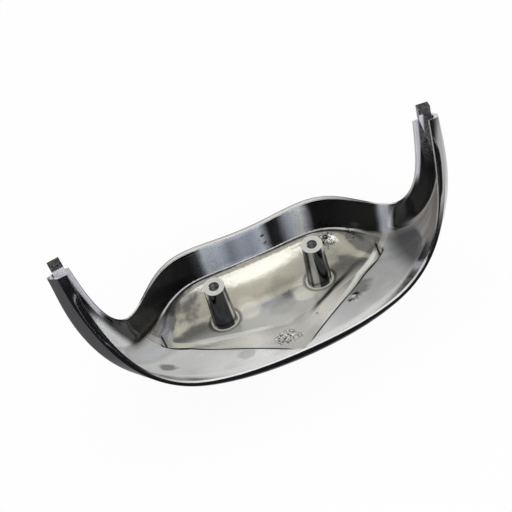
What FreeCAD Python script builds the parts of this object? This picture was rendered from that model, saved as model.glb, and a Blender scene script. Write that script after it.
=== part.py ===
# Fender tip, one chromed casting. Units are millimetres.
# X runs across the fender, Y from the front lip to the rear wall, Z along the two screw bosses.
# The origin lies midway between the two boss faces, which look towards +Z, the fender side.

import FreeCAD
import Part
import math
import os

Vec = FreeCAD.Vector

doc = FreeCAD.newDocument("fender_tip")
sheet = doc.addObject("Spreadsheet::Sheet", "sizes")

# Named sizes. Numbered ones belong to the stations, counted from the middle to an arm end.
sizes = [
    ("half_width", 96.0, "half the width of the fender where the rims touch it"),
    ("arch_rise", 91.5, "rise of the fender section from crown to upright side"),
    ("arch_power", 4.9, "squareness of the fender section"),
    ("crown_level", -5.6, "rear rim level under the boss faces, before the wheel curve"),
    ("lip_level", -4.0, "front lip level under the boss faces, before the wheel curve"),
    ("wheel_curve", 330.0, "radius of the fender along the wheel"),
    ("rear_run", 140.5, "length of the rear rim from the middle, along the section"),
    ("front_run", 157.0, "length of the front lip from the middle, along the section"),
    ("rear_y0", 32.9, "rear rim, place along Y"),
    ("rear_y1", 33.4, ""),
    ("rear_y2", 34.4, ""),
    ("rear_y3", 33.3, ""),
    ("rear_y4", 25.6, ""),
    ("rear_y5", 9.4, ""),
    ("rear_y6", -5.8, ""),
    ("rear_y7", -11.6, ""),
    ("rear_y8", -10.9, ""),
    ("rear_y9", -6.6, ""),
    ("rear_y10", -2.6, ""),
    ("front_y0", -61.0, "front lip, place along Y"),
    ("front_y1", -60.6, ""),
    ("front_y2", -59.2, ""),
    ("front_y3", -56.8, ""),
    ("front_y4", -53.6, ""),
    ("front_y5", -49.3, ""),
    ("front_y6", -44.4, ""),
    ("front_y7", -38.8, ""),
    ("front_y8", -32.4, ""),
    ("front_y9", -26.4, ""),
    ("front_y10", -22.2, ""),
    ("wall0", 25.5, "inner height of the rear wall"),
    ("wall1", 26.0, ""),
    ("wall2", 27.0, ""),
    ("wall3", 28.2, ""),
    ("wall4", 28.4, ""),
    ("wall5", 24.5, ""),
    ("wall6", 21.0, ""),
    ("wall7", 16.8, ""),
    ("wall8", 13.2, ""),
    ("wall9", 10.8, ""),
    ("wall10", 9.4, ""),
    ("lean5", 2.0, "how far the rear wall leans outwards, degrees"),
    ("lean6", 13.0, ""),
    ("lean7", 36.0, ""),
    ("lean8", 61.0, ""),
    ("lean9", 77.0, ""),
    ("lean10", 86.0, ""),
    ("toe_mid", 5.6, "inner height of the front lip in the middle"),
    ("toe_side", 0.8, "inner height of the front lip where it turns up the side"),
    ("toe_end", 3.2, "inner height of the front lip at an arm end"),
    ("bow0", 15.5, "how far the floor hangs under the straight line from wall foot to lip foot"),
    ("bow3", 15.5, ""),
    ("bow4", 15.0, ""),
    ("bow5", 12.0, ""),
    ("bow6", 8.5, ""),
    ("bow7", 5.2, ""),
    ("bow8", 3.2, ""),
    ("bow9", 2.0, ""),
    ("bow10", 1.0, ""),
    ("belly_mid", 0.40, "share of that hang near the lip, in the middle"),
    ("belly_side", 1.05, "share of that hang near the lip, at the sides"),
    ("back_share", 0.20, "place of the floor's rear guide point between wall foot and lip foot"),
    ("back_hang", 0.62, "share of the hang at that point"),
    ("bend_share", 0.40, "place of the floor's lowest guide point"),
    ("slope_share", 0.63, "place of the floor's front guide point"),
    ("skin", 3.0, "thickness of the casting"),
    ("lip_skin", 1.8, "thickness of the casting under the front lip"),
    ("lip_land", 2.0, "width of the front lip edge"),
    ("rim_round", 0.9, "edge rounding of both rims"),
    ("foot_round", 3.8, "reach of the rounding at the foot of the rear wall, in the middle"),
    ("foot_round_side", 7.0, "reach of the same rounding at the sides"),
    ("toe_round", 3.0, "reach of the rounding at the foot of the front lip"),
    ("outer_round", 11.0, "reach of the rounding on the outside"),
    ("boss_spacing", 59.0, "distance between the two screw bosses"),
    ("boss_d", 12.0, "diameter of a boss at its face"),
    ("boss_draft", 1.9, "taper of a boss, degrees a side"),
    ("boss_fillet", 1.5, "fillet where a boss meets the floor"),
    ("hole_d", 5.0, "tapping diameter of the M6 hole"),
    ("hole_depth", 22.0, "depth of the hole"),
    ("hole_lead", 0.5, "chamfer at the hole mouth"),
    ("wing_tip_x", 68.0, "half span of the V wing in the floor"),
    ("wing_tip_y", -4.0, "place of the wing tips along Y"),
    ("wing_bend_x", 54.0, "where the leading edge starts to turn to the tip"),
    ("wing_bend_y", -10.5, ""),
    ("wing_nose_y", -57.0, "place of the V point along Y"),
    ("wing_back_y", -29.0, "where the wing runs out behind the V point"),
    ("wing_tip_chord", 5.0, "width of the wing at its tips"),
    ("wing_step", 2.4, "step at the leading edge of the wing"),
    ("wing_tip_step", 1.5, "step at the wing tips"),
    ("wing_bed", 0.85, "share of the step that is left halfway to the bank of the wing"),
    ("wing_rise", 0.4, "how far the wing's ramp would come out of the floor at its back"),
    ("tongue_wide", 4.2, "width of an arm tongue along the arm end"),
    ("tongue_thick", 6.4, "thickness of an arm tongue"),
    ("tongue_out", 7.5, "how far a tongue stands out of the arm end"),
    ("tongue_back", 4.35, "how far a tongue lies from the middle of the arm towards the rear rim"),
    ("tongue_lift", 0.9, "height of a tongue over the arm floor"),
    ("tongue_root", 33.0, "length of the ramp that leads to a tongue inside the arm"),
    ("tongue_sink", 1.2, "how deep a tongue and its ramp are let into the arm floor"),
]
for row, (alias, number, note) in enumerate(sizes, 1):
    sheet.set("A%d" % row, alias)
    sheet.set("B%d" % row, repr(number))
    sheet.set("C%d" % row, note)
    sheet.setAlias("B%d" % row, alias)
doc.recompute()


def size(alias):
    return float(sheet.get(alias))


# The fender section the rims follow, as one edge from the crown up the right side.
half_width = size("half_width")
arch_rise = size("arch_rise")
arch_power = size("arch_power")
arch_points = [Vec(0, 0, 0)]
for degree in range(2, 91, 4):
    turn = math.radians(degree)
    across = half_width * math.sin(turn) ** (2.0 / arch_power)
    arch_points.append(Vec(across, 0, arch_rise * (1 - math.cos(turn))))
arch_points.append(Vec(half_width, 0, arch_rise * 1.5))
arch_curve = Part.BSplineCurve()
arch_curve.interpolate(arch_points)
arch_edge = arch_curve.toShape()


def on_fender(run, along, level):
    spot = arch_edge.valueAt(arch_edge.getParameterByLength(run))
    return Vec(spot.x, along, spot.z + level + along * along / (2 * size("wheel_curve")))


def fender_tilt(run):
    slope = arch_edge.tangentAt(arch_edge.getParameterByLength(run))
    return math.atan2(slope.z, slope.x)


def outward(angle):
    return Vec(math.sin(angle), 0, -math.cos(angle))


def blend(start, stop, share):
    return start + (stop - start) * (1 - math.cos(math.pi * share)) / 2


# Stations: rims, wall directions and floor points from the middle to the right arm end.
last = 10
bows = ["bow0", "bow0", "bow0", "bow3", "bow4", "bow5", "bow6", "bow7", "bow8", "bow9", "bow10"]
skin = size("skin")
edge = size("rim_round")


def station(index):
    share = index / last
    rear = on_fender(size("rear_run") * share, size("rear_y%d" % index), size("crown_level"))
    front = on_fender(size("front_run") * share, size("front_y%d" % index), size("lip_level"))
    to_front = (front - rear).normalize()
    lean = math.radians(size("lean%d" % index)) if index > 4 else 0.0
    down = outward(lean)
    lip_down = outward(fender_tilt(size("front_run") * share))
    under = (down + lip_down).normalize()
    wall = size("wall%d" % index)
    if share < 0.5:
        toe = blend(size("toe_mid"), size("toe_side"), share / 0.5)
    else:
        toe = blend(size("toe_side"), size("toe_end"), (share - 0.5) / 0.5)
    bow = size(bows[index])
    fullness = blend(size("belly_mid"), size("belly_side"), min(share / 0.5, 1.0))
    shrink = wall / size("wall0")
    if shrink > 1:
        shrink = 1
    rows = {}
    for side in ("inner", "outer"):
        grow = skin if side == "outer" else 0.0
        lip_grow = size("lip_skin") if side == "outer" else 0.0
        if side == "inner":
            top = rear + to_front * skin
            lip = front
            rear_land = top - to_front * edge
            lip_land = lip + to_front * edge
            foot_reach = blend(size("foot_round"), size("foot_round_side"), min(share / 0.5, 1.0))
            foot_reach = foot_reach * shrink
            toe_reach = size("toe_round") * toe / size("toe_mid")
        else:
            top = rear
            lip = front + to_front * size("lip_land")
            rear_land = top + to_front * edge
            lip_land = lip - to_front * edge
            foot_reach = size("outer_round") * shrink
            toe_reach = size("toe_round") * 1.5 * toe / size("toe_mid")
        foot = top + down * (wall + grow)
        lip_foot = lip + lip_down * (toe + lip_grow)
        line = lip_foot - foot
        hang = under * bow
        back = foot + line * size("back_share") + hang * size("back_hang")
        bend = foot + line * size("bend_share") + hang
        slope = foot + line * size("slope_share") + lip_down * bow * fullness
        rows[side] = [
            lip_land,
            lip,
            lip + lip_down * edge * 2,
            lip_foot - lip_down * toe_reach,
            lip_foot,
            lip_foot + (slope - lip_foot).normalize() * toe_reach,
            slope,
            bend,
            back,
            foot + (back - foot).normalize() * foot_reach,
            foot,
            foot - down * foot_reach,
            top + down * edge * 2,
            top,
            rear_land,
        ]
    return rows


stations = [station(index) for index in range(last + 1)]


def mirrored(point):
    return Vec(-point.x, point.y, point.z)


def skin_surface(side):
    # Each row runs smoothly through its stations, the rows shape the section between them.
    count = len(stations[0][side])
    marks = [float(index) for index in range(-last, last + 1)]
    columns = []
    for row in range(count):
        right = [rows[side][row] for rows in stations]
        left = [mirrored(point) for point in right[:0:-1]]
        run = Part.BSplineCurve()
        run.interpolate(Points=left + right, Parameters=marks)
        columns.append(run)
    poles = [list(line) for line in zip(*[run.getPoles() for run in columns])]
    inner_knots = count - 3
    surface = Part.BSplineSurface()
    surface.buildFromPolesMultsKnots(
        poles,
        columns[0].getMultiplicities(),
        [4] + [1] * (inner_knots - 1) + [4],
        columns[0].getKnots(),
        [float(step) for step in range(inner_knots + 1)],
        False,
        False,
        3,
        3,
    )
    return surface


inner_surface = skin_surface("inner")
outer_surface = skin_surface("outer")
u_low, u_high, v_low, v_high = inner_surface.bounds()


def land(v_value):
    return Part.makeRuledSurface(
        inner_surface.vIso(v_value).toShape(), outer_surface.vIso(v_value).toShape()
    )


def arm_end(u_value):
    return Part.makeRuledSurface(
        inner_surface.uIso(u_value).toShape(), outer_surface.uIso(u_value).toShape()
    )


faces = [
    inner_surface.toShape(),
    outer_surface.toShape(),
    land(v_low),
    land(v_high),
    arm_end(u_low),
    arm_end(u_high),
]
hull = Part.makeShell(faces)
hull.sewShape()
casting = Part.makeSolid(hull)
if casting.Volume < 0:
    casting.reverse()

shell = doc.addObject("Part::Feature", "shell")
shell.Shape = casting


def height_at(surface, x_place, y_place):
    ray = Part.Line(Vec(x_place, y_place, 0), Vec(x_place, y_place, 1))
    hits = ray.intersectCS(surface)[0]
    return min(point.Z for point in hits)


# Screw bosses: a drafted post with a hollow fillet at the floor, rooted half way into the skin.
spread = size("boss_spacing") / 2
draft = math.tan(math.radians(size("boss_draft")))
flare = size("boss_fillet")
face_r = size("boss_d") / 2
around = [math.radians(degree) for degree in range(0, 360, 45)]
floor_z = min(
    height_at(inner_surface, spread + 1.2 * face_r * math.cos(way), 1.2 * face_r * math.sin(way))
    for way in around
)
post_r = face_r - (floor_z + flare) * draft
deep_z = floor_z - 3 * skin
middle = flare * (1 - math.sqrt(0.5))
post_side = Part.makePolygon(
    [Vec(0, 0, deep_z), Vec(0, 0, 0), Vec(face_r, 0, 0), Vec(post_r, 0, floor_z + flare)]
)
post_flare = Part.Arc(
    Vec(post_r, 0, floor_z + flare),
    Vec(post_r + middle, 0, floor_z + middle),
    Vec(post_r + flare, 0, floor_z),
).toShape()
post_foot = Part.makePolygon(
    [Vec(post_r + flare, 0, floor_z), Vec(post_r + flare, 0, deep_z), Vec(0, 0, deep_z)]
)
outline = doc.addObject("Part::Feature", "boss_outline")
outline.Shape = Part.Wire(post_side.Edges + [post_flare] + post_foot.Edges)
boss = doc.addObject("Part::Revolution", "boss")
boss.Source = outline
boss.Axis = (0, 0, 1)
boss.Angle = 360
boss.Solid = True
boss.setExpression("Placement.Base.x", "sizes.boss_spacing / 2")

floor_patch = inner_surface.copy()
floor_patch.segment(-5.0, 5.0, 3.0, 8.5)
under = doc.addObject("Part::Feature", "under_floor")
sunk_floor = floor_patch.toShape().translated(Vec(0, 0, -skin / 2))
under.Shape = sunk_floor.extrude(Vec(0, 0, -4 * size("wall0")))

boss_cut = doc.addObject("Part::Cut", "boss_trimmed")
boss_cut.Base = boss
boss_cut.Tool = under

boss_left = doc.addObject("Part::Mirroring", "boss_left")
boss_left.Source = boss_cut
boss_left.Normal = (1, 0, 0)

body = doc.addObject("Part::MultiFuse", "shell_with_bosses")
body.Shapes = [shell, boss_cut, boss_left]

# V wing: a shallow step along the V line that ramps out behind it, and the same form raised outside.
tip_x = size("wing_tip_x")
bend_x = size("wing_bend_x")
edge_points = [
    Vec(0, size("wing_nose_y"), 0),
    Vec(bend_x, size("wing_bend_y"), 0),
    Vec(tip_x, size("wing_tip_y"), 0),
]
back_points = [
    Vec(0, size("wing_back_y"), 0),
    Vec(tip_x, size("wing_tip_y") + size("wing_tip_chord"), 0),
]
wing_places = [bend_x * part / 6 for part in range(7)] + [(bend_x + tip_x) / 2, tip_x]


def along_line(points, x_place):
    for start, stop in zip(points, points[1:]):
        if x_place <= stop.x:
            share = (x_place - start.x) / (stop.x - start.x)
            return start.y + (stop.y - start.y) * share
    return points[-1].y


def wing_section(surface, x_place, above_front, above_back):
    # The bed follows the curved floor, then a bank comes up through the floor at the back.
    y_edge = along_line(edge_points, x_place)
    y_back = along_line(back_points, x_place)
    step = size("wing_step") + (size("wing_tip_step") - size("wing_step")) * x_place / tip_x
    bed = size("wing_bed")
    sink = [step, step * (1 + bed) / 2, step * bed, step * bed * 0.6, step * bed * 0.2]
    sink.append(-size("wing_rise"))
    ramp_points = []
    for part, deep in enumerate(sink):
        y_place = y_edge + (y_back - y_edge) * part / 5
        z_place = height_at(surface, x_place, y_place) - deep
        ramp_points.append(Vec(x_place, y_place, z_place))
    ramp_line = Part.BSplineCurve()
    ramp_line.interpolate(ramp_points)
    front_foot = ramp_points[0]
    back_foot = ramp_points[-1]
    front_top = front_foot + Vec(0, 0, step + above_front)
    back_top = back_foot + Vec(0, 0, above_back)
    roof = Part.makePolygon([back_foot, back_top, front_top, front_foot])
    return Part.Wire([ramp_line.toShape()] + roof.Edges)


def wing_half(surface, above_front, above_back):
    wires = [wing_section(surface, place, above_front, above_back) for place in wing_places]
    return Part.makeLoft(wires, True, False)


wing_recess = doc.addObject("Part::Feature", "wing_recess")
wing_recess.Shape = wing_half(inner_surface, 3 * size("wing_step"), 2 * size("wing_step"))
wing_relief = doc.addObject("Part::Feature", "wing_relief")
wing_relief.Shape = wing_half(outer_surface, skin / 5, skin / 3)
recess_left = doc.addObject("Part::Mirroring", "wing_recess_left")
recess_left.Source = wing_recess
recess_left.Normal = (1, 0, 0)
relief_left = doc.addObject("Part::Mirroring", "wing_relief_left")
relief_left.Source = wing_relief
relief_left.Normal = (1, 0, 0)

raised = doc.addObject("Part::MultiFuse", "with_relief")
raised.Shapes = [body, wing_relief, relief_left]
recess_both = doc.addObject("Part::Fuse", "wing_recess_both")
recess_both.Base = wing_recess
recess_both.Tool = recess_left
recessed = doc.addObject("Part::Cut", "with_recess")
recessed.Base = raised
recessed.Tool = recess_both

# Tapped holes in the bosses, with a lead-in at the mouth.
hole = doc.addObject("Part::Cylinder", "hole")
hole.setExpression("Radius", "sizes.hole_d / 2")
hole.setExpression("Height", "sizes.hole_depth")
hole.setExpression("Placement.Base.x", "sizes.boss_spacing / 2")
hole.setExpression("Placement.Base.z", "-sizes.hole_depth")
lead = doc.addObject("Part::Cone", "hole_lead_in")
lead.setExpression("Radius1", "sizes.hole_d / 2")
lead.setExpression("Radius2", "sizes.hole_d / 2 + sizes.hole_lead")
lead.setExpression("Height", "sizes.hole_lead")
lead.setExpression("Placement.Base.x", "sizes.boss_spacing / 2")
lead.setExpression("Placement.Base.z", "-sizes.hole_lead")
drill = doc.addObject("Part::Fuse", "drill")
drill.Base = hole
drill.Tool = lead
drill_left = doc.addObject("Part::Mirroring", "drill_left")
drill_left.Source = drill
drill_left.Normal = (1, 0, 0)

# Tongues: a peg out of each arm end, led up to by a ramp that lies square on the arm floor.
pitch = (size("rear_run") + size("front_run")) / 2 / last
v_floor = (v_low + v_high) / 2
to_rear = (stations[last]["outer"][-1] - stations[last]["outer"][0]).normalize()
tongue_aim = inner_surface.value(u_high, v_floor) + to_rear * size("tongue_back")
u_tongue, v_tongue = inner_surface.parameter(tongue_aim)
u_root = u_tongue - size("tongue_root") / pitch
floor_end = inner_surface.value(u_tongue, v_tongue)
floor_start = inner_surface.value(u_root, v_tongue)
arm_way = (floor_end - floor_start).normalize()
arm_in = inner_surface.normal((u_root + u_tongue) / 2, v_tongue)
if arm_in.x > 0:
    arm_in = -arm_in
arm_wide = arm_in.cross(arm_way).normalize()
arm_in = arm_way.cross(arm_wide).normalize()
turn = FreeCAD.Rotation(arm_in, arm_way, arm_wide, "YXZ")
tongue_foot = floor_end - arm_in * size("tongue_sink")

ramp = doc.addObject("Part::Wedge", "ramp")
ramp.setExpression("Xmax", "sizes.tongue_sink")
ramp.setExpression("X2max", "sizes.tongue_sink + sizes.tongue_lift + sizes.tongue_thick")
ramp.setExpression("Ymax", "sizes.tongue_root")
ramp.setExpression("Zmin", "-sizes.tongue_wide / 2")
ramp.setExpression("Zmax", "sizes.tongue_wide / 2")
ramp.setExpression("Z2min", "-sizes.tongue_wide / 2")
ramp.setExpression("Z2max", "sizes.tongue_wide / 2")
ramp.Xmin = 0
ramp.X2min = 0
ramp.Ymin = 0
ramp.Placement = FreeCAD.Placement(tongue_foot - arm_way * size("tongue_root"), turn)

peg = doc.addObject("Part::Box", "peg")
peg.setExpression("Length", "sizes.tongue_thick")
peg.setExpression("Width", "sizes.tongue_out")
peg.setExpression("Height", "sizes.tongue_wide")
peg_corner = tongue_foot + arm_in * (size("tongue_sink") + size("tongue_lift"))
peg.Placement = FreeCAD.Placement(peg_corner - arm_wide * size("tongue_wide") / 2, turn)

tongue = doc.addObject("Part::Fuse", "tongue")
tongue.Base = ramp
tongue.Tool = peg
tongue_left = doc.addObject("Part::Mirroring", "tongue_left")
tongue_left.Source = tongue
tongue_left.Normal = (1, 0, 0)

drilled = doc.addObject("Part::Cut", "drilled_right")
drilled.Base = recessed
drilled.Tool = drill
drilled_both = doc.addObject("Part::Cut", "drilled_both")
drilled_both.Base = drilled
drilled_both.Tool = drill_left

tip = doc.addObject("Part::MultiFuse", "fender_tip")
tip.Shapes = [drilled_both, tongue, tongue_left]
doc.recompute()

for thing in doc.Objects:
    if "Invalid" in thing.State or "Error" in thing.State:
        raise RuntimeError("object in error: " + thing.Name)
    if hasattr(thing, "Shape") and (thing.Shape.isNull() or not thing.Shape.isValid()):
        raise RuntimeError("shape not valid: " + thing.Name)
if len(tip.Shape.Solids) != 1:
    raise RuntimeError("the casting is not one solid")

os.makedirs("parts", exist_ok=True)
tip.Shape.exportStep("parts/fender_tip.step")
print("fender_tip", tip.Shape.Volume, tip.Shape.BoundBox)
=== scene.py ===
import math

import bpy
from mathutils import Matrix, Vector


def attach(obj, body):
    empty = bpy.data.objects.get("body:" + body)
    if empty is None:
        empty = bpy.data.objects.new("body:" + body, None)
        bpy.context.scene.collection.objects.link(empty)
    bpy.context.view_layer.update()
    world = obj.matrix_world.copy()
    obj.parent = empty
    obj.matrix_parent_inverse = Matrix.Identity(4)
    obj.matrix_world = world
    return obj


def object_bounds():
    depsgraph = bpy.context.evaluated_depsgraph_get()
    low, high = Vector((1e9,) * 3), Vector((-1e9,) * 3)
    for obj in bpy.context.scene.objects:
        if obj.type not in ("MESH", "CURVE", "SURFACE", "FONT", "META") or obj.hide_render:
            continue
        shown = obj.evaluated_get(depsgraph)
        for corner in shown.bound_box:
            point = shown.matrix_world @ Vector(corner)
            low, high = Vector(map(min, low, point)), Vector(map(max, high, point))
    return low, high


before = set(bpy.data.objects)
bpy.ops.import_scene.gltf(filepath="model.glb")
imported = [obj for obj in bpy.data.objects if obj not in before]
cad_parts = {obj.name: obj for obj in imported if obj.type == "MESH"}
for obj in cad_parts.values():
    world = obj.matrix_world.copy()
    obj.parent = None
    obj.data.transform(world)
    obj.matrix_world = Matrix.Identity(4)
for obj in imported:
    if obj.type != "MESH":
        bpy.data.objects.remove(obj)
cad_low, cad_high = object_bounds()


# The fender tip itself: one zinc die casting, plated with nickel and chrome after casting.
# The outside is buffed to a mirror. Inside, the dish floor keeps a satin, slightly warm plate with
# casting marks, the boss faces are turned bare, and the arm tongues are left dull.
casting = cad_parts["fender_tip"]
boss_offset = 0.0295
over_dish = (0.0, -0.015, 0.045)


class Socket:
    """One output socket of a node tree, with arithmetic that adds Math nodes."""

    def __init__(self, tree, output):
        self.tree = tree
        self.output = output

    def node(self, kind, inputs=(), out=0, stops=None, **settings):
        made = self.tree.nodes.new(kind)
        for name, value in settings.items():
            setattr(made, name, value)
        if stops:
            ramp = made.color_ramp
            while len(ramp.elements) < len(stops):
                ramp.elements.new(1.0)
            for element, (position, colour) in zip(ramp.elements, stops):
                element.position = position
                element.color = (*colour, 1.0)
        pairs = inputs.items() if hasattr(inputs, "items") else enumerate(inputs)
        for key, value in pairs:
            if isinstance(value, Socket):
                self.tree.links.new(value.output, made.inputs[key])
            else:
                made.inputs[key].default_value = value
        return Socket(self.tree, made.outputs[out])

    def maths(self, operation, *values):
        return self.node("ShaderNodeMath", values, operation=operation)

    def feed(self, target):
        self.tree.links.new(self.output, target)

    def __abs__(self):
        return self.maths("ABSOLUTE", self)

    def __add__(self, other):
        return self.maths("ADD", self, other)

    def __radd__(self, other):
        return self.maths("ADD", other, self)

    def __sub__(self, other):
        return self.maths("SUBTRACT", self, other)

    def __rsub__(self, other):
        return self.maths("SUBTRACT", other, self)

    def __mul__(self, other):
        return self.maths("MULTIPLY", self, other)

    def __rmul__(self, other):
        return self.maths("MULTIPLY", other, self)

    def __truediv__(self, other):
        return self.maths("DIVIDE", self, other)

    def __rtruediv__(self, other):
        return self.maths("DIVIDE", other, self)


def blank_tree(material):
    material.use_nodes = True
    material.node_tree.nodes.clear()
    output = material.node_tree.nodes.new("ShaderNodeOutputMaterial")
    return material.node_tree, output.inputs["Surface"]


def split(vector):
    return [vector.node("ShaderNodeSeparateXYZ", [vector], out=axis) for axis in range(3)]


def lower(first, second):
    return first.maths("MINIMUM", first, second)


def higher(first, second):
    return first.maths("MAXIMUM", first, second)


def between(value, none, full):
    """Smooth step from 0 at none to 1 at full, in either direction."""
    return value.node(
        "ShaderNodeMapRange",
        {"Value": value, "From Min": none, "From Max": full, "To Min": 0.0, "To Max": 1.0},
        interpolation_type="SMOOTHSTEP",
    )


def band(value, start, full, fade, end):
    return between(value, start, full) * between(value, end, fade)


def bent_line(along, *points):
    """A line through the points, over along, that grows less steep at each of them."""
    runs = []
    for (start, first), (stop, last) in zip(points, points[1:]):
        slant = (last - first) / (stop - start)
        runs.append(along * slant + (first - slant * start))
    line = runs[0]
    for run in runs[1:]:
        line = lower(line, run)
    return line


def mixed(share, start, stop):
    start, stop = [tone if isinstance(tone, Socket) else (*tone, 1.0) for tone in (start, stop)]
    return share.node(
        "ShaderNodeMix", {"Factor": share, 6: start, 7: stop}, out=2, data_type="RGBA"
    )


def summed(*rows):
    total = 0.0
    for mask, share in rows:
        total = total + mask * share
    return total


def noise(place, scale, detail=2.0):
    return place.node(
        "ShaderNodeTexNoise", {"Vector": place, "Scale": scale, "Detail": detail, "Roughness": 0.55}
    )


chrome = bpy.data.materials.new("cast_chrome")
chrome_tree, chrome_surface = blank_tree(chrome)
shader = chrome_tree.nodes.new("ShaderNodeBsdfPrincipled")
chrome_tree.links.new(shader.outputs[0], chrome_surface)
coords = chrome_tree.nodes.new("ShaderNodeTexCoord")
place = Socket(chrome_tree, coords.outputs["Object"])
facing = Socket(chrome_tree, coords.outputs["Normal"])
place_x, place_y, place_z = split(place)
facing_x, facing_y, facing_z = split(facing)
aside = abs(place_x)

# Inside is the skin that looks towards a point over the dish, and the inner side of the arms.
to_middle = place.node("ShaderNodeVectorMath", [over_dish, place], operation="SUBTRACT")
aim = place.node("ShaderNodeVectorMath", [to_middle], operation="NORMALIZE")
inward = place.node("ShaderNodeVectorMath", [aim, facing], out=1, operation="DOT_PRODUCT")
arm_inside = (
    between(aside, 0.080, 0.086)
    * between(facing_y, -0.40, -0.70)
    * between(place_y, -0.026, -0.021)
)
inside = higher(between(inward, -0.04, 0.10), arm_inside)

# Zones of the inside: bosses, floor, rim with the dark line along it, tongues and wall. The rim is painted
# light as a highlight, and the line along it is painted dark as a reflection.
across_boss = aside - boss_offset
from_boss = place.maths("SQRT", across_boss * across_boss + place_y * place_y)
near_boss = between(from_boss, 0.0096, 0.0084)
boss = near_boss * between(facing_z, 0.80, 0.35)
boss_face = near_boss * between(place_z, -0.0010, -0.0004) * between(facing_z, 0.80, 0.95)
# The fillet at each boss's foot is painted pale as a highlight.
boss_fillet_highlight = near_boss * band(facing_z, 0.30, 0.45, 0.88, 0.97) * between(place_z, -0.020, -0.024)
floor = inside * between(facing_z, 0.26, 0.60) * between(place_z, -0.001, -0.007) * (1.0 - boss)
rim = inside * between(facing_z, 0.55, 0.85) * between(place_z, -0.009, -0.006) * (1.0 - near_boss)
rim_dark_reflection = (
    between(place_z, -0.010, -0.008)
    * between(place_y, 0.004, 0.010)
    * between(facing_y, 0.02, 0.12)
    * between(facing_z, 0.25, 0.45)
    * (1.0 - near_boss)
)
tongue = (
    band(aside, 0.0955, 0.0962, 0.1038, 0.1045)
    * band(place_y, -0.0118, -0.0112, -0.0031, -0.0025)
    * between(place_z, 0.0695, 0.0702)
)
wall = inside * (1.0 - floor) * (1.0 - near_boss) * (1.0 - rim)
lean = floor * between(facing_y, 0.10, 0.40)

# The V wing lies between a stepped leading edge, bent once on each side, and a soft bank behind it.
# Distances from both are taken square to their lines.
wing_point = (0.0, -0.0570)
wing_bend = (0.0540, -0.0105)
wing_tip = (0.0680, -0.0040)
edge_square = 0.76
bank_square = 0.915
behind_edge = (place_y - bent_line(aside, wing_point, wing_bend, wing_tip)) * edge_square
behind_bank = (place_y - bent_line(aside, (0.0, -0.0290), (0.0680, 0.0010))) * bank_square
wing = floor * between(behind_edge, -0.0001, 0.0002) * between(behind_bank, 0.0004, -0.0010)
slope = floor * between(behind_edge, 0.0002, -0.0006)
# Painted shade: a dark line along the foot of the leading edge's step, and one at each wing's end.
edge_shade_line = floor * band(behind_edge, -0.0013, -0.0009, 0.0001, 0.0004) * between(aside, 0.0692, 0.0684)
from_end = abs(aside - 0.0664 - place_y * 0.08)
end_shade_line = inside * between(from_end, 0.0008, 0.0003) * band(place_y, -0.0060, -0.0045, 0.0018, 0.0032)
crease_shade = edge_shade_line + end_shade_line

# Painted reflections: the bank is painted dark on the right half, and a painted highlight streak runs along
# each half of the wing.
bank_y = bent_line(
    aside, (0.01, -0.02982), (0.03506, -0.00992), (0.05131, -0.00130), (0.07, 0.00248)
)
bank_dark_reflection = (
    floor
    * between(abs(place_y - bank_y), 0.0034, 0.0004)
    * band(aside, 0.010, 0.022, 0.0670, 0.0700)
    * between(place_x, -0.03, 0.03)
    * (0.35 + 0.65 * between(aside, 0.056, 0.036))
)
right_y = bent_line(aside, (0.012, -0.0455), (0.0496, -0.00941), (0.066, -0.0002))
right_streak = between(abs(place_y - right_y), 0.0024, 0.0008) * between(place_x, 0.012, 0.030)
left_y = bent_line(aside, (0.006, -0.02534), (0.066, -0.00074))
left_streak = between(abs(place_y - left_y), 0.0030, 0.0006) * band(place_x, -0.060, -0.035, -0.016, -0.006)
wing_highlight_streak = (right_streak + left_streak) * floor * between(aside, 0.0660, 0.0630)

# Painted reflection of the fillet where the rear wall meets the floor: a dark line under a bright one.
foot = inside * between(place_y, 0.006, 0.012) * between(aside, 0.066, 0.058) * (1.0 - near_boss)
foot_dark_reflection = foot * band(facing_z, 0.48, 0.56, 0.70, 0.80)
foot_highlight = foot * band(facing_z, 0.20, 0.28, 0.44, 0.50)

# Uneven plate: broad clouds, casting ripple, fine grain, specks on the floor and in the painted wall
# reflections.
cloud = noise(place, 28.0)
ripple = noise(place, 95.0)
grain = noise(place, 900.0, 3.0)
coarse_grain = between(grain, 0.3, 0.7)
floor_specks = between(noise(place, 1800.0), 0.48, 0.66)
wall_band_specks = between(noise(place, 2400.0, 1.0), 0.45, 0.70)


def spots(*rows):
    """Round patches with torn edges, each given by its centre, reach, raggedness and strength."""
    total = 0.0
    for centre, reach, ragged, strength in rows:
        gap = place.node("ShaderNodeVectorMath", [place, centre], out=1, operation="DISTANCE")
        torn = gap + (ripple - 0.5) * (reach * ragged)
        total = total + between(torn, reach, reach * 0.45) * strength
    return total


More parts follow.
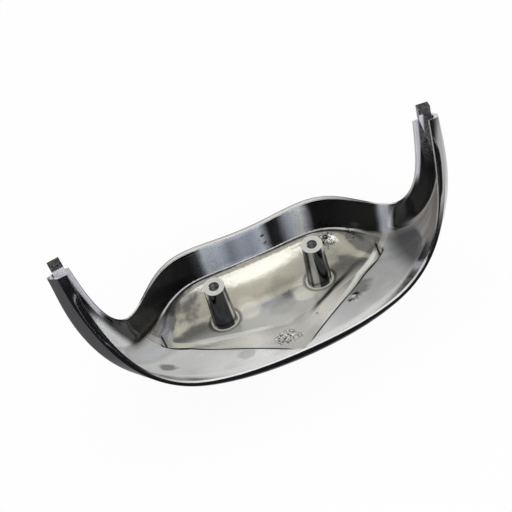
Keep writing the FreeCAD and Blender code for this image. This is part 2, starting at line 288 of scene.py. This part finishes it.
# Casting faults: rough spots at the V's point, on the slope, behind the right boss, at the wall's
# foot and on the rear wall, with single pits in and around them, and pale flecks on the slope.
faults = spots(
    ((-0.0050, -0.0380, -0.0155), 0.0085, 1.6, 1.0),
    ((0.0397, -0.0305, -0.0196), 0.0062, 0.5, 1.0),
    ((0.0435, 0.0233, -0.0325), 0.0062, 0.8, 1.0),
    ((0.0580, 0.0172, -0.0295), 0.0060, 0.6, 1.0),
    ((0.0092, 0.0301, -0.0140), 0.0022, 1.6, 1.0),
    ((0.0097, 0.0301, -0.0213), 0.0026, 1.6, 1.0),
)
single_pits = spots(
    ((0.0090, 0.0301, -0.0141), 0.0011, 1.6, 1.0),
    ((0.0096, 0.0301, -0.0213), 0.0010, 1.6, 1.0),
    ((0.0068, 0.0301, -0.0165), 0.0007, 1.6, 1.0),
    ((0.0440, 0.0240, -0.0322), 0.0012, 1.6, 1.0),
    ((0.0414, 0.0225, -0.0326), 0.0010, 1.6, 1.0),
    ((0.0172, -0.0291, -0.0203), 0.0009, 1.6, 1.0),
    ((0.0364, -0.0315, -0.0190), 0.0021, 1.6, 1.0),
    ((0.0413, -0.0271, -0.0218), 0.0022, 1.6, 1.0),
)
pits = (between(noise(place, 950.0), 0.50, 0.62) * faults + single_pits) * inside
chips = between(noise(place, 620.0), 0.56, 0.62) * faults * floor * (1.0 - pits)
flecks = slope * spots(
    ((-0.0564, -0.0131, -0.0289), 0.0010, 1.6, 1.0),
    ((-0.0493, -0.0208, -0.0254), 0.0012, 1.6, 1.0),
    ((0.0395, -0.0286, -0.0208), 0.0016, 1.6, 1.0),
    ((0.0391, -0.0347, -0.0169), 0.0016, 1.6, 1.0),
)

# Painted shade and painted highlights on the floor plate: dark patches, shaded patches and bright glints.
# The right end of the slope is painted dark all over.
painted_dark_patches = (
    slope * between(place_x, 0.066, 0.080) * 1.1
    + slope * between(place_x, 0.0, 0.05) * 0.26
    + slope * spots(((0.0440, -0.0220, -0.0220), 0.011, 1.6, 0.7))
    + floor * spots(((-0.0470, 0.0210, -0.0310), 0.013, 1.6, 1.0))
    + spots(
        ((-0.0700, -0.0255, -0.0173), 0.0065, 1.6, 0.9),
        ((-0.0276, -0.0404, -0.0138), 0.006, 1.6, 0.4),
    )
)
shade = floor * spots(
    ((0.0085, 0.0035, -0.0340), 0.012, 0.8, 0.32),
    ((0.0020, -0.0100, -0.0305), 0.010, 0.8, 0.25),
)
painted_glint_spots = spots(
    ((-0.0145, -0.0015, -0.0335), 0.0085, 0.2, 1.0),
    ((-0.0150, 0.0045, -0.0338), 0.0075, 0.2, 0.6),
    ((0.0178, -0.0065, -0.0322), 0.0085, 0.2, 1.0),
    ((0.0165, -0.0010, -0.0336), 0.0070, 0.2, 0.6),
)
glint = floor * lower(painted_glint_spots, 1.0)
pale_slope = between(cloud + between(place_x, -0.02, -0.07) * 0.2, 0.38, 0.62)

# Painted reflections: bands of bluish light and of black stand side by side along the rear wall, from its
# left to its right end.
reflection_band_span = 0.2
along_wall = place_x / reflection_band_span + 0.5 + (cloud - 0.5) * 0.02
painted_wall_reflections = place.node(
    "ShaderNodeValToRGB",
    [along_wall],
    stops=[
        (0.32, (0.06, 0.06, 0.065)),
        (0.345, (0.20, 0.21, 0.26)),
        (0.365, (0.84, 0.90, 1.0)),
        (0.41, (0.78, 0.85, 1.0)),
        (0.442, (0.46, 0.50, 0.62)),
        (0.475, (0.62, 0.68, 0.84)),
        (0.505, (0.58, 0.64, 0.80)),
        (0.538, (0.80, 0.86, 0.98)),
        (0.555, (0.42, 0.45, 0.53)),
        (0.568, (0.06, 0.06, 0.07)),
        (0.595, (0.10, 0.11, 0.13)),
        (0.618, (0.62, 0.66, 0.78)),
        (0.64, (0.84, 0.90, 1.0)),
        (0.668, (0.95, 0.98, 1.0)),
        (0.69, (0.34, 0.35, 0.42)),
        (0.70, (0.045, 0.047, 0.05)),
        (0.85, (0.045, 0.047, 0.05)),
        (0.862, (0.82, 0.84, 0.95)),
        (0.876, (0.82, 0.84, 0.95)),
        (0.886, (0.05, 0.055, 0.055)),
    ],
)
wall_reflection_paint = mixed(wall_band_specks * 0.35, painted_wall_reflections, (0.06, 0.06, 0.07))
wall_reflection_light = place.node("ShaderNodeSeparateColor", [wall_reflection_paint], out=1)

# Painted reflections on the bosses: bright highlight stripes run up the boss sides, which are painted dark,
# and a painted highlight ring inside a ring of painted shade lies round each foot.
boss_x = place.maths("SIGN", place_x) * boss_offset
round_boss = place.maths("ARCTAN2", place_x - boss_x, 0.0 - place_y)
right_half = between(place_x, -0.001, 0.001)
boss_highlight_stripes = summed(
    (band(round_boss, -0.90, -0.70, -0.36, -0.20) * right_half, 0.6),
    (band(round_boss, 0.56, 0.68, 0.82, 0.95), 0.75),
    (band(round_boss, -1.30, -1.20, -1.10, -1.00), 0.4),
)
foot_shade = floor * band(from_boss, 0.0080, 0.0084, 0.0092, 0.0106)
foot_highlight_ring = floor * between(from_boss, 0.0084, 0.0080)

# Arms: a painted pale reflection low on the left, a painted grey reflection on the right, a rough strip
# below each tongue, and painted highlights along the edges and ends.
left_arm_reflection = wall * between(place_x + place_z * 0.22, -0.0825, -0.0865) * between(place_z, 0.042, 0.028)
right_arm_reflection = wall * between(place_x, 0.080, 0.088) * between(facing_x, -0.40, -0.70)
arm_strip = (
    wall
    * between(aside, 0.0955, 0.0965)
    * between(place_z, 0.036, 0.060)
    * between(place_y, -0.018, -0.015)
)
edge_aside = bent_line(place_z, (0.03, 0.08823), (0.05317, 0.09402), (0.0766, 0.09707))
long_edge = between(aside - edge_aside, 0.0024, 0.0012) * between(place_z, 0.030, 0.040)
top_edge = between(place_x, -0.090, -0.094) * between(place_z, 0.0712, 0.0720)
arm_edge = arm_inside * (long_edge + top_edge) * between(place_z, 0.0766, 0.0758)
arm_end = between(facing_z, 0.50, 0.65) * between(place_z, 0.064, 0.068) * (1.0 - tongue)
arm_edge_highlight = lower(arm_edge + arm_end, 1.0)

# Colour, one layer over the other.
floor_plate = mixed(between(cloud, 0.35, 0.65), (0.84, 0.83, 0.78), (0.94, 0.92, 0.82))
slope_plate = mixed(pale_slope, (0.74, 0.75, 0.74), (0.98, 0.98, 0.97))
wing_plate = mixed(between(aside, 0.024, 0.006), (0.98, 0.96, 0.87), (0.60, 0.59, 0.56))
strip_metal = mixed(coarse_grain, (0.07, 0.07, 0.075), (0.30, 0.30, 0.32))
boss_reflection_paint = mixed(boss_highlight_stripes, (0.05, 0.053, 0.06), (0.85, 0.85, 0.85))
turned_metal = mixed(grain, (0.62, 0.63, 0.60), (1.0, 1.0, 0.98))
dull_metal = mixed(coarse_grain, (0.03, 0.03, 0.035), (0.20, 0.20, 0.21))
colour = mixed(inside, (0.74, 0.745, 0.76), (0.72, 0.72, 0.74))
for mask, tone in (
    # Painted reflections on the wall and on both arms.
    (wall, wall_reflection_paint),
    (left_arm_reflection, (0.98, 0.99, 0.99)),
    (right_arm_reflection, (0.47, 0.44, 0.42)),
    (arm_strip, strip_metal),
    (floor, floor_plate),
    (slope, slope_plate),
    (wing, wing_plate),
    # Painted shade, highlights and reflections on the floor, the wing and the wall's foot.
    (painted_dark_patches * 0.8, (0.14, 0.14, 0.14)),
    (shade, (0.20, 0.19, 0.165)),
    (glint * 0.9, (1.0, 0.97, 0.86)),
    (bank_dark_reflection, (0.035, 0.035, 0.032)),
    (wing_highlight_streak, (1.0, 1.0, 0.98)),
    (foot_dark_reflection * 0.9, (0.08, 0.08, 0.085)),
    (foot_highlight, (0.95, 0.95, 0.95)),
    (crease_shade, (0.03, 0.03, 0.028)),
    # Painted highlight on the rim, painted shade and highlight at the boss feet, and the bosses painted
    # dark with highlight stripes.
    (rim, (0.97, 0.97, 0.95)),
    (foot_shade * 0.7, (0.10, 0.10, 0.095)),
    (foot_highlight_ring, (1.0, 0.97, 0.86)),
    (boss, boss_reflection_paint),
    (boss_fillet_highlight, (0.98, 0.95, 0.84)),
    (boss_face, turned_metal),
    (floor * floor_specks * 0.22, (0.20, 0.20, 0.19)),
    (pits, (0.015, 0.015, 0.015)),
    (chips, (1.0, 1.0, 0.98)),
    (flecks, (1.0, 1.0, 1.0)),
    # Painted dark reflection along the rim; after the tongues, painted highlights on the arm edges and
    # ends.
    (rim_dark_reflection, (0.03, 0.03, 0.032)),
    (tongue, dull_metal),
    (arm_edge_highlight, (0.86, 0.86, 0.95)),
):
    colour = mixed(mask, colour, tone)
colour.feed(shader.inputs["Base Color"])

# Where the plate is milky, and where highlights, reflections and shade are painted into the colour, less of
# the mirror is left.
milky_and_painted = summed(
    (floor, 0.22),
    (slope, 0.40),
    (lean, 0.45),
    (wing, 0.2),
    (glint, 0.45),
    (wing_highlight_streak, 0.6),
    (foot_highlight, 1.0),
    (foot_highlight_ring, 0.5),
    (boss_fillet_highlight, 0.5),
    (boss_face, 0.4),
    (rim, 0.6),
    (wall * wall_reflection_light, 0.9),
    (left_arm_reflection + right_arm_reflection, 0.6),
    (arm_strip, 0.6),
    (arm_edge_highlight, 0.8),
)
higher(1.0 - milky_and_painted, 0.02).feed(shader.inputs["Metallic"])

roughness = 0.045 + 0.02 * grain + floor * (0.03 + 0.05 * cloud) + summed(
    (wall, 0.05),
    (slope, 0.14),
    (crease_shade + pits, 0.3),
    (boss_face, 0.32),
    (tongue, 0.25),
    (rim, 0.08),
)
roughness.feed(shader.inputs["Roughness"])

turning = place.maths("SINE", from_boss * 9000.0)
height = summed(
    (floor * ripple, 0.00006),
    (floor * grain, 0.00001),
    (wall * grain, 0.000006),
    (tongue * grain, 0.00006),
    (boss_face * turning, 0.00001),
    (pits, -0.00035),
)
relief = place.node("ShaderNodeBump", {"Height": height, "Distance": 1.0, "Strength": 1.0})
relief.feed(shader.inputs["Normal"])
casting.data.materials.clear()
casting.data.materials.append(chrome)


# Threads of the two screw holes: coarse metric thread, cut into the bosses after casting.
# Each is drawn as one helical ridge standing a little in from the drilled bore; the bore itself
# belongs to the casting.
thread_pitch = 0.001
thread_turns = 17
turn_steps = 32
first_turn = -0.0009
bore_radius = 0.0025
ridge_radius = 0.0003
ridge_sink = 0.00005

bare_metal = bpy.data.materials.new("cut_thread")
bare_metal.use_nodes = True
thread_tree = bare_metal.node_tree
thread_shader = thread_tree.nodes["Principled BSDF"]
thread_place = Socket(thread_tree, thread_tree.nodes.new("ShaderNodeTexCoord").outputs["Object"])
scuff = noise(thread_place, 1500.0, 3.0)
mixed(scuff, (0.45, 0.45, 0.46), (0.80, 0.80, 0.80)).feed(thread_shader.inputs["Base Color"])
(0.18 + 0.2 * scuff).feed(thread_shader.inputs["Roughness"])
thread_shader.inputs["Metallic"].default_value = 0.9
dents = scuff.node("ShaderNodeBump", {"Height": scuff, "Distance": 0.00002, "Strength": 1.0})
dents.feed(thread_shader.inputs["Normal"])

for side, name in ((-1, "left_thread"), (1, "right_thread")):
    bpy.ops.object.select_all(action="DESELECT")
    bpy.ops.mesh.primitive_circle_add(
        vertices=3,
        radius=ridge_radius,
        location=(bore_radius - ridge_sink, 0, first_turn),
        rotation=(math.pi / 2, -math.pi / 2, 0),
    )
    ridge = bpy.context.object
    ridge.name = name
    bpy.ops.object.transform_apply(location=True, rotation=True, scale=True)
    sweep = ridge.modifiers.new("sweep", "SCREW")
    sweep.axis = "Z"
    sweep.screw_offset = -thread_pitch
    sweep.iterations = thread_turns
    sweep.steps = turn_steps
    sweep.render_steps = turn_steps
    bpy.ops.object.modifier_apply(modifier="sweep")
    bpy.ops.object.mode_set(mode="EDIT")
    bpy.ops.mesh.select_all(action="SELECT")
    bpy.ops.mesh.fill_holes(sides=3)
    bpy.ops.mesh.remove_doubles(threshold=0.000001)
    bpy.ops.mesh.normals_make_consistent(inside=False)
    bpy.ops.transform.translate(value=(side * boss_offset, 0, 0))
    bpy.ops.object.mode_set(mode="OBJECT")
    bpy.ops.object.shade_flat()
    ridge.data.materials.append(bare_metal)
    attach(ridge, "root")


# Table top: a plain white sheet that the part lies on, outer face down.
# It shows white to the eye and in the chrome, and keeps a little of the part's shadow.
table_z = cad_low.z - 0.0004
table_glow = 0.94


def plainly_seen(tree):
    paths = tree.nodes.new("ShaderNodeLightPath")
    by_eye = Socket(tree, paths.outputs["Is Camera Ray"])
    in_chrome = Socket(tree, paths.outputs["Is Glossy Ray"])
    through = Socket(tree, paths.outputs["Is Transmission Ray"])
    return higher(higher(by_eye, in_chrome), through)


bpy.ops.object.select_all(action="DESELECT")
bpy.ops.mesh.primitive_plane_add(size=12.0, location=(0, 0, table_z))
table = bpy.context.object
table.name = "table_top"
white_sheet = bpy.data.materials.new("white_sheet")
sheet_tree, sheet_surface = blank_tree(white_sheet)
sheet_seen = plainly_seen(sheet_tree)
paper = sheet_seen.node("ShaderNodeBsdfDiffuse", {"Color": (0.9, 0.9, 0.9, 1)})
glow = sheet_seen.node("ShaderNodeEmission", {"Color": (1, 1, 1, 1), "Strength": 1.0})
sheet_seen.node("ShaderNodeMixShader", [sheet_seen * table_glow, paper, glow]).feed(sheet_surface)
table.data.materials.append(white_sheet)


# Studio: white surroundings, two soft lamps, and boards and mats that only the chrome shows.
# The boards stand round the table and give the mirror something to reflect; the mats lie on it.
surround_light = 0.76
world = bpy.data.worlds.new("studio")
bpy.context.scene.world = world
world.use_nodes = True
background = world.node_tree.nodes["Background"]
background.inputs["Color"].default_value = (1, 1, 1, 1)
surround = plainly_seen(world.node_tree) * (1.0 - surround_light) + surround_light
surround.feed(background.inputs["Strength"])


def board(name, centre, aim, size, inner, outer, edge, soft=0.002):
    """A glowing sheet, shaded from its middle to its edge and clear over the soft share of it."""
    wide, tall = size
    turn = (Vector(aim) - Vector(centre)).to_track_quat("Z", "Y")
    bpy.ops.object.select_all(action="DESELECT")
    bpy.ops.mesh.primitive_plane_add(size=1.0)
    made = bpy.context.object
    made.name = name
    made.data.transform(Matrix.Diagonal((wide, tall, 1, 1)))
    made.matrix_world = Matrix.Translation(centre) @ turn.to_matrix().to_4x4()
    skin = bpy.data.materials.new(name)
    tree, surface = blank_tree(skin)
    spot_x, spot_y, _ = split(Socket(tree, tree.nodes.new("ShaderNodeTexCoord").outputs["Object"]))
    outward = higher(abs(spot_x) / (wide / 2), abs(spot_y) / (tall / 2))
    tone = mixed(between(outward, 1.0, 1.0 - edge), outer, inner)
    light = tone.node("ShaderNodeEmission", {"Color": tone, "Strength": 1.0})
    clear = tone.node("ShaderNodeBsdfTransparent")
    solid = between(outward, 1.0, 1.0 - soft)
    tone.node("ShaderNodeMixShader", [solid, clear, light]).feed(surface)
    made.data.materials.append(skin)
    made.visible_camera = False
    made.visible_diffuse = False
    made.visible_shadow = False


def mat(name, x, y, lift, size, inner, outer, edge, soft=0.002):
    board(name, (x, y, table_z + lift), (x, y, 1), size, inner, outer, edge, soft)


window_light = (1.35, 1.34, 1.32)
window_frame = (1.2, 1.2, 1.2)
warm_shadow = (0.28, 0.27, 0.24)
black_cloth = (0.03, 0.03, 0.03)
near_black = (0.012, 0.012, 0.014)
mat_edge = (0.02, 0.02, 0.024)
skirt_grey = (0.04, 0.04, 0.045)
board("ceiling_window", (0.09, 0.19, 1.0), (0.09, 0.19, 0), (0.52, 0.17), window_light, window_frame, 0.1)
board("overhead_board", (0.02, 0.15, 1.1), (0, 0.1, 0), (1.3, 1.1), (0.37, 0.36, 0.31), warm_shadow, 0.4)
board("back_board", (0.1, 1.0, 0.62), (0, 0, 0.1), (2.2, 1.5), (0.56, 0.54, 0.47), warm_shadow, 0.6)
board("front_board", (0, -1.0, 0.75), (0, 0, 0), (2.2, 1.5), (0.10, 0.10, 0.115), (0.03, 0.03, 0.035), 0.6)
board("front_window", (0.05, -0.75, 0.95), (0, 0, 0), (0.28, 0.4), (1.0, 0.98, 1.1), (0.2, 0.2, 0.22), 0.4)
board("front_skirt", (0, -1.3, 0.15), (0, 0, 0.15), (4.0, 0.5), skirt_grey, skirt_grey, 0.3)
board("left_board", (-0.95, 0, 0.75), (0, 0, 0.1), (2.2, 1.9), (0.05, 0.05, 0.05), black_cloth, 0.3)
board("right_board", (0.95, 0, 1.05), (0, 0, 0.6), (2.2, 1.7), (0.04, 0.04, 0.04), black_cloth, 0.3)
# The first mat stands for the shaded table round the front of the part, as the chrome shows it: a painted
# shadow.
mat("shade_mat", -0.325, -0.26, 0.0002, (1.21, 0.45), near_black, mat_edge, 0.1, 0.22)
mat("far_mat", 0.0, -0.95, 0.0002, (3.4, 1.0), near_black, mat_edge, 0.1)
mat("right_mat", 0.70, 0.0, 0.0001, (1.28, 1.0), (0.50, 0.50, 0.49), (0.45, 0.45, 0.45), 0.1, 0.2)
mat("side_mat", -0.70, 0.30, 0.0001, (1.43, 0.88), (0.09, 0.09, 0.095), (0.10, 0.10, 0.105), 0.1, 0.2)
mat("rear_mat", 0.05, 0.42, 0.00015, (1.2, 0.56), (0.22, 0.22, 0.23), (0.30, 0.30, 0.31), 0.3, 0.6)

for name, stand, power in (
    ("overhead_lamp", (0.02, 0.12, 1.2), 1.6),
    ("front_lamp", (-0.05, -0.85, 0.75), 3.0),
):
    lamp_data = bpy.data.lights.new(name, "AREA")
    lamp_data.shape = "RECTANGLE"
    lamp_data.size = 0.9
    lamp_data.size_y = 0.6
    lamp_data.energy = power
    lamp = bpy.data.objects.new(name, lamp_data)
    bpy.context.scene.collection.objects.link(lamp)
    lamp.location = stand
    lamp.rotation_euler = (-Vector(stand)).to_track_quat("-Z", "Y").to_euler()
    lamp.visible_glossy = False


# Camera at the photograph's viewing angle: in front of the dish, high up and a little to its left.
# Its turn and lens were fitted to the part's outline in the photograph, from a chosen distance.
camera_distance = 0.7
sideways = Vector((0.914, -0.368, -0.170)).normalized()
away = Vector((0.092, 0.596, -0.798)).normalized()
down = away.cross(sideways).normalized()
right = down.cross(away).normalized()
camera_data = bpy.data.cameras.new("camera")
camera = bpy.data.objects.new("camera", camera_data)
bpy.context.scene.collection.objects.link(camera)
camera_turn = Matrix((right, -down, -away)).transposed().to_4x4()
camera.matrix_world = Matrix.Translation(-camera_distance * away) @ camera_turn
camera_data.sensor_width = 36.0
camera_data.lens = 89.4
camera_data.shift_x = -0.0133
camera_data.shift_y = 0.0183
camera_data.clip_start = 0.01
camera_data.clip_end = 50.0
bpy.context.scene.camera = camera

bpy.context.scene.view_settings.view_transform = "Standard"
